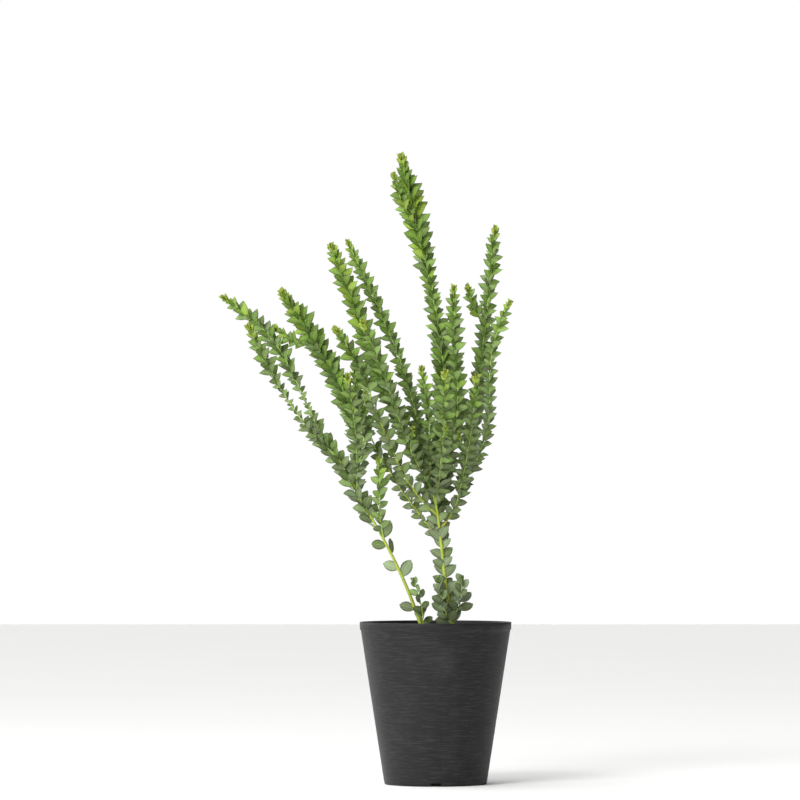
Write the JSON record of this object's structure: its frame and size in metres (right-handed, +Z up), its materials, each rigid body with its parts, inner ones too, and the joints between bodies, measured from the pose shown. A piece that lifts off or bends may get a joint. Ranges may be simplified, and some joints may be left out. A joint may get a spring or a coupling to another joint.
{
  "type": "potted shrub",
  "caption": "Young shrub of slender leaning stems and long upright shoots set with small knife-shaped leaves, growing in a plain round tapered plastic pot.",
  "frame": {"origin": "centre of the pot's flat underside, on the pot's own axis", "axes": "+Z up along the pot's axis, +X to the viewer's right, +Y away from the viewer"},
  "size_m": [0.2877, 0.1951, 0.62],
  "materials": {
    "pot": "matt, with fine turned lines",
    "soil": "coarse and matt",
    "bark": "smooth green young bark",
    "leaf": "satin, with a thin waxy bloom"
  },
  "bodies": {
    "root": {"pot": "pot", "soil": "soil", "stem_left": "bark", "stem_right": "bark", "bough_left": "bark", "bough_left_inner": "bark", "bough_low_left": "bark", "bough_centre_left": "bark", "bough_right": "bark", "foliage_tall": "leaf", "foliage_centre_left": "leaf", "foliage_centre_back": "leaf", "foliage_centre_sprig": "leaf", "foliage_centre_right": "leaf", "foliage_right": "leaf", "foliage_right_outer": "leaf", "foliage_left_outer": "leaf", "foliage_left_lower": "leaf", "foliage_left_upper": "leaf", "foliage_left_inner": "leaf", "foliage_left_front": "leaf", "foliage_left_sprig": "leaf", "foliage_left_back": "leaf", "foliage_back_tall": "leaf", "foliage_back": "leaf", "foliage_back_right": "leaf", "foliage_back_left": "leaf", "foliage_front_tall": "leaf", "foliage_front": "leaf", "foliage_front_right": "leaf", "foliage_front_left": "leaf", "sprig_left": "leaf", "sprig_centre": "leaf", "sprig_right": "leaf"}
  },
  "joints": []
}
